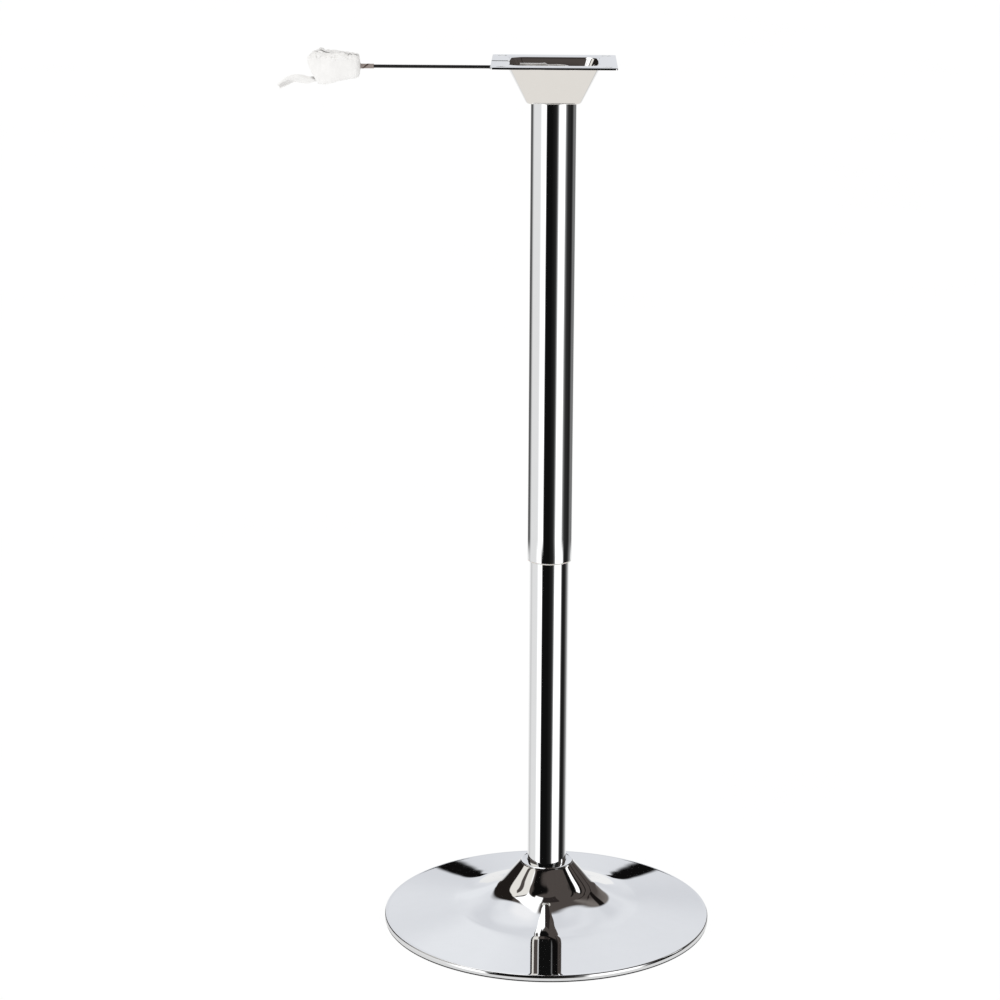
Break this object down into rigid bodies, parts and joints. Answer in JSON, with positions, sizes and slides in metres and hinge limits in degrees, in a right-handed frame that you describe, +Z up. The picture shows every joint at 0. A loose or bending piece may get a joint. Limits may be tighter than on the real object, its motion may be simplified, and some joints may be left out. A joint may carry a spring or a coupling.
{
  "type": "height-adjustable table pedestal",
  "caption": "Round trumpet base with a fixed column, a gas-lifted telescoping sleeve, and a square mounting plate with a release lever whose handle is still wrapped.",
  "frame": {"origin": "on the floor, on the axis of the column", "axes": "+Z up along the column; the release lever points along -X; -Y is the side seen in the picture"},
  "size_m": [0.5502, 0.4224, 1.126],
  "materials": {
    "chrome": "bright mirror chrome on steel",
    "plate_chrome": "bright chrome on pressed sheet, a little softer than the tubes",
    "bare_steel": "bright zinc plated steel",
    "cast_iron": "raw, oiled",
    "black_steel": "satin black",
    "black_plastic": "moulded, fine texture",
    "pale_nylon": "natural nylon",
    "red_nylon": "moulded gloss",
    "black_rubber": "matt",
    "brown_rubber": "satin, slightly translucent band",
    "white_foam": "thin white packing foam sheet, soft and slightly translucent"
  },
  "bodies": {
    "base": {"floor_cover": "black_plastic", "base_dish": "chrome", "ballast_plate": "cast_iron", "column_socket": "bare_steel", "socket_bolt_1": "bare_steel", "socket_bolt_2": "bare_steel", "socket_bolt_3": "bare_steel", "column_tube": "chrome", "column_plug": "bare_steel", "lower_race": "bare_steel", "ball_cage": "bare_steel", "guide_bush": "pale_nylon"},
    "rod": {"piston_rod": "chrome", "rod_clip": "black_steel", "rod_washer": "bare_steel", "upper_race": "bare_steel", "bump_stop": "black_rubber", "piston": "bare_steel", "piston_seal": "black_rubber"},
    "lift": {"gas_cylinder": "black_steel", "rod_guide": "bare_steel", "rod_seal": "black_rubber", "valve_housing": "bare_steel", "taper_collar": "bare_steel", "mounting_plate": "plate_chrome", "sleeve_tube": "chrome", "sleeve_cap": "black_plastic", "sleeve_glide_ring": "pale_nylon", "pivot_bracket": "bare_steel", "pivot_pin": "bare_steel", "pivot_clip": "black_steel"},
    "button": {"valve_button": "red_nylon"},
    "lever": {"lever_arm": "bare_steel", "lever_rod": "black_steel", "lever_knob": "black_plastic", "knob_wrap": "white_foam", "wrap_neck": "white_foam", "rubber_band": "brown_rubber", "wrap_tail": "white_foam"}
  },
  "joints": [
    {"name": "column_swivel", "type": "hinge", "parent": "base", "child": "rod", "pos_m": [0, 0, 0.03], "axis": [0, 0, 1], "continuous": true},
    {"name": "height_slide", "type": "slide", "parent": "rod", "child": "lift", "axis": [0, 0, 1], "range_m": [-0.35, 0]},
    {"name": "lever_pivot", "type": "hinge", "parent": "lift", "child": "lever", "pos_m": [-0.0285, 0, 1.1086], "axis": [0, 1, 0], "range_deg": [0, 4], "stiffness_Nm_per_rad": 2, "springref_deg": -5.73},
    {"name": "button_travel", "type": "slide", "parent": "lift", "child": "button", "axis": [0, 0, 1], "range_m": [-0.0025, 0]}
  ],
  "couplings": [
    {"joint": "button_travel", "follows": "lever_pivot", "m_per_rad": -0.0285}
  ]
}
